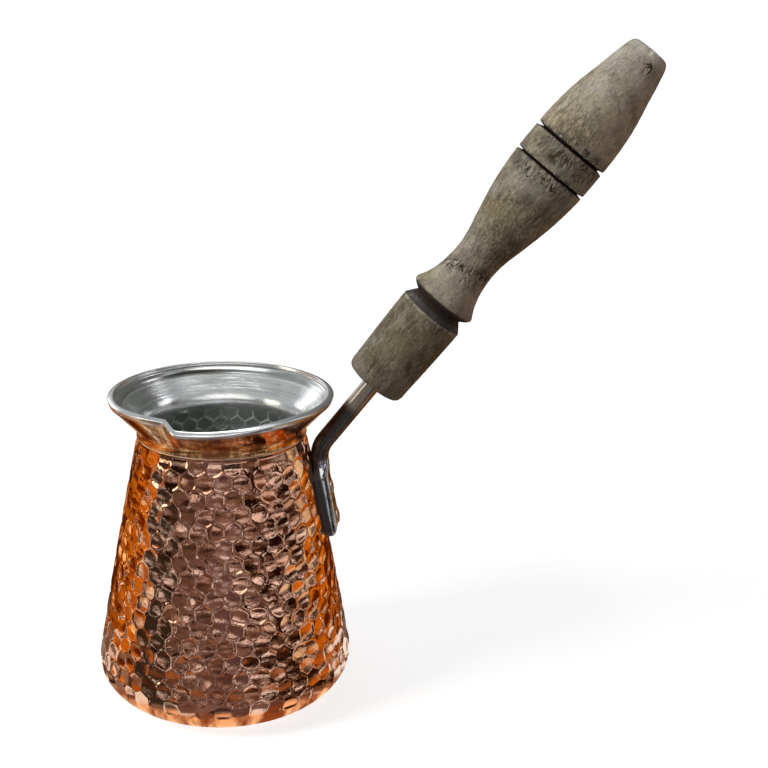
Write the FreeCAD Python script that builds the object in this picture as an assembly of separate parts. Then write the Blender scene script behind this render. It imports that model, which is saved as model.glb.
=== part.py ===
import FreeCAD, Part
import math
import os

from FreeCAD import Vector

# A tinned copper coffee pot with a riveted iron handle rod and a turned wooden grip.
# The pot stands on z = 0 with its axis on Z. The handle leaves it along +X and rises.
# The pouring lip faces -Y, which is the left of someone who holds the handle.
# Lengths are millimetres. Names that end in deg are degrees, and shares are fractions.

# Copper shell
pot_height = 103.8
flange_height = 13.3
belly_height = 13.4
belly_radius = 42.4
rest_radius = 30.7
neck_radius = 27.4
rim_spread = 9.0
copper_wall = 1.5
base_turn_deg = 58.0
neck_bend_radius = 8.5
rim_bend_radius = 4.0
rim_lean_deg = 20.0

# Pouring lip: pinched in, then a sharp crease, then pressed out and fading towards the handle
pinch_from_deg = -158.0
crease_from_deg = -117.5
crease_to_deg = -106.0
fade_from_deg = -102.0
fade_to_deg = -41.0
lip_reach = 1.9
lip_drop = 1.9
lip_lean_deg = 50.0
pinch_draw = 1.6
pinch_lift = 0.5
pinch_lean_deg = 12.0

# Tin coat
tin_thickness = 0.25

# Handle rod: round bar, bent at the wall and forged into a flat-backed spade
rod_diameter = 6.0
handle_rise_deg = 51.84
rim_gap = 4.34
bend_radius = 9.0
bare_length = 29.34
taper_length = 5.6
spade_length = 21.4
spade_width = 10.6
spade_edge = 2.4
spade_crown = 5.4
spade_tip = 1.9
spade_tip_run = 9.0
spade_seat = 0.1
tang_diameter = 4.0
tang_length = 24.0

# Rivets through the spade and the wall
rivet_diameter = 3.4
rivet_head_diameter = 6.0
rivet_head_height = 0.65
rivet_head_sink = 0.3
rivet_inner_head_height = 0.8
rivet_tip_distance = 7.2
rivet_top_distance = 3.7

# Wooden handle, turned in one piece: lengths of its parts from its lower end up
sleeve_length = 29.9
notch_rise = 3.1
bell_rise = 2.9
throat_length = 15.5
swell_length = 39.6
fall_length = 23.6
end_length = 20.6
sleeve_low_radius = 10.25
sleeve_high_radius = 11.0
sleeve_round = 1.5
notch_radius = 8.5
bell_radius = 11.1
bell_round = 0.8
waist_radius = 7.45
grip_radius = 12.95
shoulder_radius = 11.3
end_radius = 6.9
end_round = 1.4
groove_width = 1.9
groove_depth = 2.2
groove_before_belly = 3.2
groove_after_belly = 6.3
wood_bore_gap = 0.05

# End washer, let into the end of the wood under the peened tang
washer_diameter = 7.6
washer_thickness = 0.8
washer_depth = 1.3
washer_gap = 0.1
peen_diameter = 6.0
peen_height = 0.7
peen_rim = 0.2

# Outline points of the grip, as shares of the way along and of the change of radius
throat_shares = ((0.33, 0.59), (0.66, 0.88))
swell_shares = ((0.13, 0.08), (0.26, 0.28), (0.51, 0.68), (0.76, 0.92))
fall_shares = ((0.50, 0.15), (0.80, 0.58))

# Sampling of the flange and of the forged taper
ring_step_deg = 7.5
crease_step_deg = 1.75
crease_margin_deg = 6.0
bend_shares = (0.0, 0.5, 1.0)
bend_room_share = 0.97
taper_sections = 5
straight_share = 0.0001
joining_gap = 0.001
overrun = 2.0

half_turn = 180.0
full_turn = 360.0
up = Vector(0, 0, 1)
across = Vector(0, 1, 0)
origin = Vector(0, 0, 0)
arc_middle = 1 - math.sqrt(0.5)


def ease(share):
    share = min(max(share, 0.0), 1.0)
    return share * share * (3 - 2 * share)


def between(low, high, share):
    return low + (high - low) * share


def rise_between(angle, low, high):
    return ease((angle - low) / (high - low))


def flat(radius, height):
    return Vector(radius, 0, height)


def revolve_face(edges, base=origin, axis=up):
    return Part.Face(Part.Wire(edges)).revolve(base, axis, full_turn)


# Puts a shape made about Z at a point, with its Z turned to a direction
def placed(shape, point, direction):
    moved = shape.copy()
    moved.Placement = FreeCAD.Placement(point, FreeCAD.Rotation(up, direction))
    return moved


def largest(shape):
    return max(shape.Solids, key=lambda solid: solid.Volume)


# Base corner: part of an ellipse that leaves the floor at an angle and turns into the cone
neck_height = pot_height - flange_height
rim_radius = neck_radius + rim_spread
base_turn = math.radians(base_turn_deg)
corner_reach = (belly_radius - rest_radius) / (1 - math.cos(base_turn))
corner_drop = belly_height / math.sin(base_turn)
corner_centre = flat(belly_radius - corner_reach, belly_height)


def corner_arc(wide, deep, start, end):
    if wide >= deep:
        ellipse = Part.Ellipse(corner_centre + flat(wide, 0), corner_centre + flat(0, deep), corner_centre)
        return Part.ArcOfEllipse(ellipse, start, end).toShape()
    quarter = math.radians(half_turn) / 2
    ellipse = Part.Ellipse(corner_centre + flat(0, deep), corner_centre - flat(wide, 0), corner_centre)
    return Part.ArcOfEllipse(ellipse, start - quarter, end - quarter).toShape()


# The skin at a depth inside the outer surface: its floor, its corner and its straight wall
def skin_edges(depth):
    wide = corner_reach - depth
    deep = corner_drop - depth
    floor_angle = -math.asin((belly_height - depth) / deep)
    neck_x = (neck_radius - depth - corner_centre.x) / wide
    neck_z = (neck_height - corner_centre.z) / deep
    wall_angle = math.atan2(neck_z, neck_x) - math.acos(1 / math.hypot(neck_x, neck_z))
    floor_edge = flat(corner_centre.x + wide * math.cos(floor_angle), depth)
    foot = corner_centre + flat(wide * math.cos(wall_angle), deep * math.sin(wall_angle))
    neck = flat(neck_radius - depth, neck_height)
    edges = [Part.makeLine(flat(0, depth), floor_edge),
             corner_arc(wide, deep, floor_angle, wall_angle),
             Part.makeLine(foot, neck)]
    return foot, neck, edges


# Everything inside the skin at a depth, up to the neck, as one closed solid
def filled_to_neck(depth):
    foot, neck, edges = skin_edges(depth)
    top_line = Part.makeLine(neck, flat(0, neck_height))
    axis_line = Part.makeLine(flat(0, neck_height), flat(0, depth))
    return revolve_face(edges + [top_line, axis_line])


# Where the rim's edge stands at an azimuth, and how far it leans out there
def rim_edge(angle):
    if angle > half_turn:
        angle -= full_turn
    crease = rise_between(angle, crease_from_deg, crease_to_deg)
    press = crease * (1 - rise_between(angle, fade_from_deg, fade_to_deg))
    pinch = rise_between(angle, pinch_from_deg, crease_from_deg) * (1 - crease)
    radius = rim_radius + lip_reach * press - pinch_draw * pinch
    height = pot_height - lip_drop * press + pinch_lift * pinch
    lean = rim_lean_deg + (lip_lean_deg - rim_lean_deg) * press + (pinch_lean_deg - rim_lean_deg) * pinch
    return radius, height, math.radians(lean)


# The two bends of the flange at an azimuth. Where they have no room, both are made tighter.
def flange_bends(edge_radius, edge_height, edge_lean):
    neck_bend = neck_bend_radius
    rim_bend = rim_bend_radius
    while True:
        low = flat(neck_radius + neck_bend, neck_height)
        high = flat(edge_radius - rim_bend * math.cos(edge_lean), edge_height + rim_bend * math.sin(edge_lean))
        if neck_bend + rim_bend <= (high - low).Length * bend_room_share:
            return low, neck_bend, high, rim_bend
        neck_bend *= bend_room_share
        rim_bend *= bend_room_share


# The flange's meridian at an azimuth: a bend out of the neck, a straight flare, a bend at the rim.
# Each station is a radius, a height and the lean from upright.
def flange_stations(angle):
    edge_radius, edge_height, edge_lean = rim_edge(angle)
    low, neck_bend, high, rim_bend = flange_bends(edge_radius, edge_height, edge_lean)
    run = high - low
    flare = math.atan2(run.x, run.z) + math.asin((neck_bend + rim_bend) / run.Length)
    neck_part = []
    for share in bend_shares:
        lean = flare * share
        neck_part.append((low.x - neck_bend * math.cos(lean), low.z + neck_bend * math.sin(lean), lean))
    rim_part = []
    for share in bend_shares:
        lean = between(flare, edge_lean, share)
        rim_part.append((high.x + rim_bend * math.cos(lean), high.z - rim_bend * math.sin(lean), lean))
    middle = ((neck_part[-1][0] + rim_part[0][0]) / 2, (neck_part[-1][1] + rim_part[0][1]) / 2, flare)
    return neck_part + [middle] + rim_part


# Azimuths of the sections, closer together across the crease
def ring_angles():
    angles = []
    angle = 0.0
    low = full_turn + crease_from_deg - crease_margin_deg
    high = full_turn + crease_to_deg + crease_margin_deg
    while angle < full_turn - crease_step_deg:
        angles.append(angle)
        angle += crease_step_deg if low <= angle < high else ring_step_deg
    return angles


ring_at = ring_angles()
flange_at = [flange_stations(angle) for angle in ring_at]
last_station = len(flange_at[0]) - 1


# One closed ring of the flange, at a depth inside its outer face and a distance past its edge
def flange_ring(station, depth, past=0.0):
    points = []
    for angle, stations in zip(ring_at, flange_at):
        radius, height, lean = stations[station]
        radius += past * math.sin(lean) - depth * math.cos(lean)
        height += past * math.cos(lean) + depth * math.sin(lean)
        turn = math.radians(angle)
        points.append(Vector(radius * math.cos(turn), radius * math.sin(turn), height))
    ring = Part.BSplineCurve()
    ring.interpolate(Points=points, PeriodicFlag=True, Parameters=ring_at + [full_turn])
    return Part.Wire([ring.toShape()])


def flange_skin(depth, past=0.0):
    rings = [flange_ring(station, depth) for station in range(last_station)]
    rings.append(flange_ring(last_station, depth, past))
    return Part.makeLoft(rings, False, False)


def rim_band(depth_from, past_from, depth_to, past_to):
    rings = [flange_ring(last_station, depth_from, past_from), flange_ring(last_station, depth_to, past_to)]
    return Part.makeLoft(rings, False, True)


def neck_band(depth_out, depth_in):
    return Part.Face([flange_ring(0, depth_out), flange_ring(0, depth_in)])


def sewn_solid(skins):
    shell = Part.makeShell([face for skin in skins for face in skin.Faces])
    shell.sewShape()
    solid = Part.makeSolid(shell)
    solid.fix(0, 0, 0)
    return solid


# Copper shell: a revolved body and its pressed flange, joined on the neck's plane
def make_pot_body():
    body = filled_to_neck(0).cut(filled_to_neck(copper_wall))
    flange = sewn_solid([flange_skin(0), rim_band(0, 0, copper_wall, 0), flange_skin(copper_wall),
                         neck_band(0, copper_wall)])
    return body.fuse([flange], joining_gap)


# Tin coat: the whole inside and the rim's edge
def make_tin_lining():
    inside = copper_wall + tin_thickness
    body = filled_to_neck(copper_wall).cut(filled_to_neck(inside))
    flange = sewn_solid([flange_skin(copper_wall), rim_band(copper_wall, 0, 0, 0),
                         rim_band(0, 0, 0, tin_thickness), rim_band(0, tin_thickness, inside, tin_thickness),
                         flange_skin(inside, tin_thickness), neck_band(copper_wall, inside)])
    return body.fuse([flange], joining_gap)


# Directions at the wall and along the rod, all in the plane y = 0
wall_foot, wall_neck = skin_edges(0)[:2]
along_wall = (wall_neck - wall_foot).normalize()
off_wall = Vector(along_wall.z, 0, -along_wall.x)
handle_rise = math.radians(handle_rise_deg)
along_rod = Vector(math.cos(handle_rise), 0, math.sin(handle_rise))
towards_rim = Vector(-along_rod.z, 0, along_rod.x)

# The rod's line lies along the wall and then clears the rim by its gap. The two meet at the bend.
rod_radius = rod_diameter / 2
line_at_neck = wall_neck + off_wall * (rod_radius - spade_seat)
rim_from_line = (flat(rim_radius, pot_height) - line_at_neck).dot(towards_rim)
bend_point = line_at_neck - along_wall * ((rod_radius + rim_gap - rim_from_line) / along_wall.dot(towards_rim))
bend_turn = along_wall.getAngle(along_rod)
bend_run = bend_radius * math.tan(bend_turn / 2)
bend_low = bend_point - along_wall * bend_run
bend_high = bend_point + along_rod * bend_run
spade_foot = bend_low - off_wall * rod_radius - along_wall * (taper_length + spade_length)
wood_low = bend_point + along_rod * bare_length
notch_position = sleeve_length + notch_rise
bell_position = notch_position + bell_rise
waist_position = bell_position + throat_length
belly_position = waist_position + swell_length
shoulder_position = belly_position + fall_length
wood_length = shoulder_position + end_length


def on_spade(rise, side, lift):
    return spade_foot + along_wall * rise + across * side + off_wall * lift


# An arc through three points, or a line where they are in line
def bowed(start, middle, end):
    chord = end - start
    if (middle - start).cross(chord).Length < straight_share * chord.Length * chord.Length:
        return Part.makeLine(start, end)
    return Part.Arc(start, middle, end).toShape()


# A section across the forging, from round at share 0 to flat-backed with a crowned face at share 1
def forged_section(rise, share):
    diagonal = rod_radius * math.sqrt(0.5)
    half_width = between(diagonal, spade_width / 2, share)
    belly = between(rod_radius, spade_width / 2, share)
    back_corner = between(rod_radius - diagonal, 0.0, share)
    face_corner = between(rod_radius + diagonal, spade_edge, share)
    crown = between(rod_diameter, spade_crown, share)
    side_middle = (back_corner + face_corner) / 2
    corners = [on_spade(rise, -half_width, back_corner), on_spade(rise, half_width, back_corner),
               on_spade(rise, half_width, face_corner), on_spade(rise, -half_width, face_corner)]
    middles = [on_spade(rise, 0, 0), on_spade(rise, belly, side_middle),
               on_spade(rise, 0, crown), on_spade(rise, -belly, side_middle)]
    return Part.Wire([bowed(corners[i], middles[i], corners[i - 3]) for i in range(4)])


# The forged stretch between the round bar and the spade
def make_forged_taper():
    sections = []
    for step in range(taper_sections):
        share = step / (taper_sections - 1)
        sections.append(forged_section(spade_length + taper_length * (1 - share), ease(share)))
    return Part.makeLoft(sections, True, False)


# The spade: its section drawn down the wall, cut to a round end and a face that runs down to the tip
def make_spade():
    bar = Part.Face(forged_section(spade_length, 1)).extrude(-along_wall * spade_length)
    radius = spade_width / 2
    plan = Part.Wire([
        Part.makeLine(on_spade(spade_length, -radius, 0), on_spade(radius, -radius, 0)),
        Part.Arc(on_spade(radius, -radius, 0), on_spade(0, 0, 0), on_spade(radius, radius, 0)).toShape(),
        Part.makeLine(on_spade(radius, radius, 0), on_spade(spade_length, radius, 0)),
        Part.makeLine(on_spade(spade_length, radius, 0), on_spade(spade_length, -radius, 0))])
    drop = spade_crown - spade_tip
    tip_radius = (spade_tip_run ** 2 + drop ** 2) / (2 * drop)
    half_run = spade_tip_run / 2
    half_drop = tip_radius - math.sqrt(tip_radius ** 2 - half_run ** 2)
    side = Part.Wire([
        Part.makeLine(on_spade(0, -radius, 0), on_spade(0, -radius, spade_tip)),
        Part.Arc(on_spade(0, -radius, spade_tip), on_spade(half_run, -radius, spade_crown - half_drop),
                 on_spade(spade_tip_run, -radius, spade_crown)).toShape(),
        Part.makeLine(on_spade(spade_tip_run, -radius, spade_crown),
                      on_spade(spade_length, -radius, spade_crown)),
        Part.makeLine(on_spade(spade_length, -radius, spade_crown), on_spade(spade_length, -radius, 0)),
        Part.makeLine(on_spade(spade_length, -radius, 0), on_spade(0, -radius, 0))])
    plan_block = Part.Face(plan).extrude(off_wall * spade_crown)
    side_block = Part.Face(side).extrude(across * spade_width)
    return bar.common(plan_block).common(side_block)


# A low round head about Z, standing on a root that reaches below z = 0
def head(diameter, height, root):
    radius = diameter / 2
    ball = (radius ** 2 + height ** 2) / (2 * height)
    shoulder = flat(radius / 2, math.sqrt(ball ** 2 - radius ** 2 / 4) - ball + height)
    return revolve_face([
        Part.makeLine(flat(0, -root), flat(radius, -root)),
        Part.makeLine(flat(radius, -root), flat(radius, 0)),
        Part.Arc(flat(radius, 0), shoulder, flat(0, height)).toShape(),
        Part.makeLine(flat(0, height), flat(0, -root))])


# The bar from the bend up: bent, straight, reduced to a tang and peened over the washer
def make_bar():
    ring = Part.Wire([Part.Circle(bend_low, along_wall, rod_radius).toShape()])
    bend = Part.Face(ring).revolve(bend_low + off_wall * bend_radius, across, math.degrees(bend_turn))
    straight = Part.makeCylinder(rod_radius, bare_length - bend_run + wood_length - tang_length,
                                 bend_high, along_rod)
    seat = wood_length - washer_depth + washer_thickness
    tang_low = wood_length - tang_length - overrun
    tang = Part.makeCylinder(tang_diameter / 2, seat - tang_low, wood_low + along_rod * tang_low, along_rod)
    peen = placed(head(peen_diameter, peen_height, peen_rim), wood_low + along_rod * (seat + peen_rim), along_rod)
    return bend.fuse([straight, tang, peen])


def make_handle_rod():
    rod = make_bar().fuse([make_forged_taper(), make_spade()]).removeSplitter()
    return rod.cut(filled_to_neck(0))


rivet_rises = (rivet_tip_distance, spade_length - rivet_top_distance)
rivet_inside = spade_seat - copper_wall - tin_thickness


def rivet_shank(rise, low, high):
    return Part.makeCylinder(rivet_diameter / 2, high - low, on_spade(rise, 0, low), off_wall)


# A rivet: a low head on the spade's crowned face, its shank, and a flatter head formed inside the pot.
# Both heads start inside what they bear on and are cut to its surface.
def make_rivet(rise, spade, hollow):
    seat = spade_crown - rivet_head_sink
    outer = head(rivet_head_diameter, rivet_head_height, seat - spade_edge)
    outer = placed(outer, on_spade(rise, 0, seat), off_wall).cut(spade)
    inner = head(rivet_head_diameter, rivet_inner_head_height, copper_wall)
    inner = placed(inner, on_spade(rise, 0, rivet_inside), -off_wall).common(hollow)
    shank = rivet_shank(rise, rivet_inside - rivet_inner_head_height / 2, spade_crown)
    return largest(outer).fuse([largest(inner), shank])


# A curve through the points of the grip, from the bell's lip to the shoulder
def grip_curve():
    points = [flat(bell_radius, bell_position + bell_round)]
    legs = ((bell_position + bell_round, bell_radius, waist_position, waist_radius, throat_shares),
            (waist_position, waist_radius, belly_position, grip_radius, swell_shares),
            (belly_position, grip_radius, shoulder_position, shoulder_radius, fall_shares))
    for low, low_radius, high, high_radius, shares in legs:
        for along, change in shares:
            points.append(flat(between(low_radius, high_radius, change), between(low, high, along)))
        points.append(flat(high_radius, high))
    curve = Part.BSplineCurve()
    curve.interpolate(points)
    return points[0], curve.toShape(), points[-1]


# The turning's outline, closed along the axis
def wood_outline():
    bell_start, curve, shoulder = grip_curve()
    low_inset = sleeve_round * arc_middle
    end_inset = end_round * arc_middle
    low_edge = flat(sleeve_low_radius - sleeve_round, 0)
    low_side = flat(sleeve_low_radius, sleeve_round)
    high_side = flat(sleeve_high_radius, sleeve_length)
    notch = flat(notch_radius, notch_position)
    bell_low = flat(bell_radius - bell_round / 2, bell_position - bell_round)
    bell_lip = flat(bell_radius + bell_round / 4, bell_position)
    end_side = flat(end_radius, wood_length - end_round)
    end_edge = flat(end_radius - end_round, wood_length)
    return [Part.makeLine(origin, low_edge),
            Part.Arc(low_edge, flat(sleeve_low_radius - low_inset, low_inset), low_side).toShape(),
            Part.makeLine(low_side, high_side),
            Part.makeLine(high_side, notch),
            Part.makeLine(notch, bell_low),
            Part.Arc(bell_low, bell_lip, bell_start).toShape(),
            curve,
            Part.makeLine(shoulder, end_side),
            Part.Arc(end_side, flat(end_radius - end_inset, wood_length - end_inset), end_edge).toShape(),
            Part.makeLine(end_edge, flat(0, wood_length)),
            Part.makeLine(flat(0, wood_length), origin)]


# A narrow V cut round the grip
def groove_cutter(position):
    bottom = flat(grip_radius - groove_depth, position)
    low = flat(grip_radius + groove_depth, position - groove_width)
    high = flat(grip_radius + groove_depth, position + groove_width)
    return revolve_face([Part.makeLine(bottom, low), Part.makeLine(low, high), Part.makeLine(high, bottom)])


# The wooden handle, turned about Z here and then slid onto the rod
def make_wooden_handle():
    bore = Part.makeCylinder(rod_radius + wood_bore_gap, wood_length - tang_length + overrun, flat(0, -overrun), up)
    tang_bore = Part.makeCylinder(tang_diameter / 2 + wood_bore_gap, wood_length + overrun, origin, up)
    washer_seat = Part.makeCylinder(washer_diameter / 2 + washer_gap, washer_depth + overrun,
                                    flat(0, wood_length - washer_depth), up)
    grooves = [groove_cutter(belly_position - groove_before_belly),
               groove_cutter(belly_position + groove_after_belly)]
    return placed(revolve_face(wood_outline()).cut([bore, tang_bore, washer_seat] + grooves), wood_low, along_rod)


def make_end_washer():
    seat = flat(0, wood_length - washer_depth)
    disc = Part.makeCylinder(washer_diameter / 2, washer_thickness, seat, up)
    hole = Part.makeCylinder(tang_diameter / 2, washer_thickness, seat, up)
    return placed(disc.cut(hole), wood_low, along_rod)


def build():
    forged_rod = make_handle_rod()
    hollow = filled_to_neck(copper_wall + tin_thickness)
    holes = [rivet_shank(rise, rivet_inside - overrun, spade_crown + overrun) for rise in rivet_rises]
    return {
        "pot_body": make_pot_body().cut(holes),
        "tin_lining": make_tin_lining().cut(holes),
        "handle_rod": forged_rod.cut(holes),
        "rivet_lower": make_rivet(rivet_rises[0], forged_rod, hollow),
        "rivet_upper": make_rivet(rivet_rises[1], forged_rod, hollow),
        "wooden_handle": make_wooden_handle(),
        "end_washer": make_end_washer(),
    }


os.makedirs("parts", exist_ok=True)
for name, shape in build().items():
    box = shape.BoundBox
    print("%-14s solids %d valid %s volume %.1f  x %.2f %.2f  y %.2f %.2f  z %.2f %.2f" % (
        name, len(shape.Solids), shape.isValid(), shape.Volume,
        box.XMin, box.XMax, box.YMin, box.YMax, box.ZMin, box.ZMax))
    shape.exportStep("parts/%s.step" % name)
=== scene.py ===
import math

import bpy
import numpy as np
from mathutils import Matrix, Vector


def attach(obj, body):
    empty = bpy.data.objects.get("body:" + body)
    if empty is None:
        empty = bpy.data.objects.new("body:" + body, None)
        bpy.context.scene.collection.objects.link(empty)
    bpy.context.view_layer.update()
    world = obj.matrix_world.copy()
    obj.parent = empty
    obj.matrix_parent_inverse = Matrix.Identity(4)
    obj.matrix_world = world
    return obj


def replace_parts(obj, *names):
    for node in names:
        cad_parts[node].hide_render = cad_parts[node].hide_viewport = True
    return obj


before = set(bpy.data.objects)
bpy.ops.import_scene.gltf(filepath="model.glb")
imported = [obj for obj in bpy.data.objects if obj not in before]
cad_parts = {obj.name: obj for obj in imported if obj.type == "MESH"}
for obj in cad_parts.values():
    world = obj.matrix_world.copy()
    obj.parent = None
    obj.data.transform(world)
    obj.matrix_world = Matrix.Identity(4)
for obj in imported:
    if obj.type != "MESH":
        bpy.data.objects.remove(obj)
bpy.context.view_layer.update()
mm = 0.001

# Camera: place in mm and its three axes
cameraView = {
    "place": (38.318, -437.972, 243.175),
    "right": (0.999478, -0.028566, 0.015096),
    "up": (-0.005992, 0.295272, 0.955394),
    "forward": (0.031749, 0.954986, -0.294947),
    "lens": 66.0,
}


def makeCamera(view):
    data = bpy.data.cameras.new("photoCamera")
    data.lens = view["lens"]
    data.sensor_width = 36
    data.clip_start = 0.01
    data.clip_end = 20
    camera = bpy.data.objects.new("photoCamera", data)
    bpy.context.scene.collection.objects.link(camera)
    back = -Vector(view["forward"])
    turn = Matrix((view["right"], view["up"], back)).transposed().to_4x4()
    camera.matrix_world = Matrix.Translation(Vector(view["place"]) * mm) @ turn
    bpy.context.scene.camera = camera


makeCamera(cameraView)
print("camera placed")


# Meshes are worked out in mm and become metres when they are made
def ease(share):
    share = np.clip(share, 0.0, 1.0)
    return share * share * (3 - 2 * share)


def mixed(low, high, share):
    return low + (high - low) * share


# A skin of rings, each ring a row of points, with its ends closed by a fan
def ringSkin(name, rings, material, fanLow=False, fanHigh=False, marks=None, sharp=None, flip=False):
    rows, cols = rings.shape[:2]
    index = np.arange(rows * cols).reshape(rows, cols)
    beside = np.roll(index, -1, axis=1)
    quads = np.stack([index[:-1], beside[:-1], beside[1:], index[1:]], -1).reshape(-1, 4).tolist()
    points = rings.reshape(-1, 3)
    for wanted, ring, isLow in ((fanLow, index[0], True), (fanHigh, index[-1], False)):
        if wanted:
            centre = len(points)
            points = np.vstack([points, points[ring].mean(0)])
            quads += [[centre, b, a] if isLow else [centre, a, b]
                      for a, b in zip(ring.tolist(), np.roll(ring, -1).tolist())]
    if flip:
        quads = [face[::-1] for face in quads]
    mesh = bpy.data.meshes.new(name)
    mesh.from_pydata((points * mm).tolist(), [], quads)
    for key, values in (marks or {}).items():
        flat = np.zeros(len(points), np.float32)
        flat[:values.size] = values.ravel()
        mesh.attributes.new(key, "FLOAT", "POINT").data.foreach_set("value", flat)
    mesh.shade_smooth()
    if sharp:
        mesh.set_sharp_from_angle(angle=math.radians(sharp))
    mesh.materials.append(material)
    piece = bpy.data.objects.new(name, mesh)
    bpy.context.scene.collection.objects.link(piece)
    return piece


# A value in a shader, with the sums that can be made of it
class Signal:
    def __init__(self, tree, socket):
        self.tree, self.socket = tree, socket

    def node(self, kind, settings=None, sockets=None, output=0):
        made = self.tree.nodes.new(kind)
        for key, value in (settings or {}).items():
            if key == "stops":
                ramp = made.color_ramp
                while len(ramp.elements) < len(value):
                    ramp.elements.new(1.0)
                for stop, (place, colour) in zip(ramp.elements, value):
                    stop.position = place
                    stop.color = (*colour, 1.0)
            else:
                setattr(made, key, value)
        for key, value in (sockets or {}).items():
            self.feed(made.inputs[key], value)
        return Signal(self.tree, made.outputs[output]) if made.outputs else None

    def feed(self, target, value):
        if isinstance(value, Signal):
            self.tree.links.new(value.socket, target)
        elif isinstance(value, tuple) and target.type == "RGBA":
            target.default_value = (*value, 1.0)
        else:
            target.default_value = value

    def sum(self, kind, first, second=0.0, third=0.0):
        return self.node("ShaderNodeMath", {"operation": kind}, {0: first, 1: second, 2: third})

    def __add__(self, other):
        return self.sum("ADD", self, other)

    def __sub__(self, other):
        return self.sum("SUBTRACT", self, other)

    def __rsub__(self, other):
        return self.sum("SUBTRACT", other, self)

    def __mul__(self, other):
        return self.sum("MULTIPLY", self, other)

    def __truediv__(self, other):
        return self.sum("DIVIDE", self, other)

    def __rtruediv__(self, other):
        return self.sum("DIVIDE", other, self)

    def __abs__(self):
        return self.sum("ABSOLUTE", self)

    __radd__ = __add__
    __rmul__ = __mul__

    def most(self, other):
        return self.sum("MAXIMUM", self, other)

    def least(self, other):
        return self.sum("MINIMUM", self, other)

    def step(self, low, high):  # 0 below low, 1 above high, smooth between
        return self.node("ShaderNodeMapRange", {"interpolation_type": "SMOOTHSTEP"}, {0: self, 1: low, 2: high})

    def ramp(self, stops):
        return self.node("ShaderNodeValToRGB", {"stops": stops}, {0: self})

    def blend(self, first, second, kind="MIX"):  # self is the share of the second colour
        return mixColours(self, self, first, second, kind)

    def darkenedBy(self, tone):  # two colours multiplied
        return mixColours(self, 1.0, self, tone, "MULTIPLY")

    def part(self, axis):  # x, y or z of a place
        return self.node("ShaderNodeSeparateXYZ", {}, {0: self}, "xyz".index(axis))

    def dot(self, way):
        return self.node("ShaderNodeVectorMath", {"operation": "DOT_PRODUCT"}, {0: self, 1: way}, 1)

    def length(self):
        return self.node("ShaderNodeVectorMath", {"operation": "LENGTH"}, {0: self}, 1)

    def noise(self, scale, detail=3.0, rough=0.5, warp=0.0):
        return self.node("ShaderNodeTexNoise", {}, {"Vector": self, "Scale": scale, "Detail": detail,
                                                    "Roughness": rough, "Distortion": warp})

    def cells(self, scale):
        return self.node("ShaderNodeTexVoronoi", {}, {"Vector": self, "Scale": scale})

    def mapped(self, scale=(1.0, 1.0, 1.0), turn=(0.0, 0.0, 0.0), shift=(0.0, 0.0, 0.0)):
        return self.node("ShaderNodeMapping", {}, {"Vector": self, "Scale": scale, "Rotation": turn,
                                                   "Location": shift})

    def bump(self, strength, reach, onto=None):
        sockets = {"Height": self, "Strength": strength, "Distance": reach}
        if onto:
            sockets["Normal"] = onto
        return self.node("ShaderNodeBump", {}, sockets)


def mixColours(start, share, first, second, kind):
    return start.node("ShaderNodeMix", {"data_type": "RGBA", "blend_type": kind}, {0: share, 6: first, 7: second}, 2)


# A new material, a signal to start from in its nodes, and the place on the object in metres
def newFinish(name):
    material = bpy.data.materials.new(name)
    material.use_nodes = True
    tree = material.node_tree
    tree.nodes.clear()
    start = Signal(tree, None)
    place = start.node("ShaderNodeTexCoord", output=3)
    return material, start, place


# What the mesh carries at its points, such as the ridges between hammer marks
def meshMark(start, name):
    return start.node("ShaderNodeAttribute", {"attribute_name": name}, output=2)


def finishWith(start, sockets):
    shader = start.node("ShaderNodeBsdfPrincipled", {}, sockets)
    start.node("ShaderNodeOutputMaterial", {}, {0: shader})


# Colours, how rough the clean metal is, and heights in metres between which one look gives way to another
copperLook = {
    "bright": (0.93, 0.50, 0.33),
    "stained": (0.74, 0.33, 0.19),
    # ridge: paler copper on the polished ridges, and partly a painted highlight
    "ridge": (0.97, 0.66, 0.51),
    # gap: a dark line of painted shade under the neck seam
    "gap": (0.05, 0.025, 0.015),
    # the flange's golden colour and its dark vertical blotches are painted reflection
    "goldenSheen": (1.0, 0.56, 0.22),
    # seam: the neck seam's painted highlight, pale and partly matt
    "seam": (1.0, 0.80, 0.56),
    "drawn": (0.40, 0.15, 0.05),
    "roughness": 0.045,
    "flangeStarts": (0.0915, 0.0921), "bendEnds": (0.0945, 0.0962),
    "fineScale": 900.0, "dentScale": 430.0,
    "drawnScale": (330.0, 330.0, 40.0), "streakScale": (260.0, 260.0, 1500.0),
    "bump": (0.18, 0.0002),
}


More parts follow.
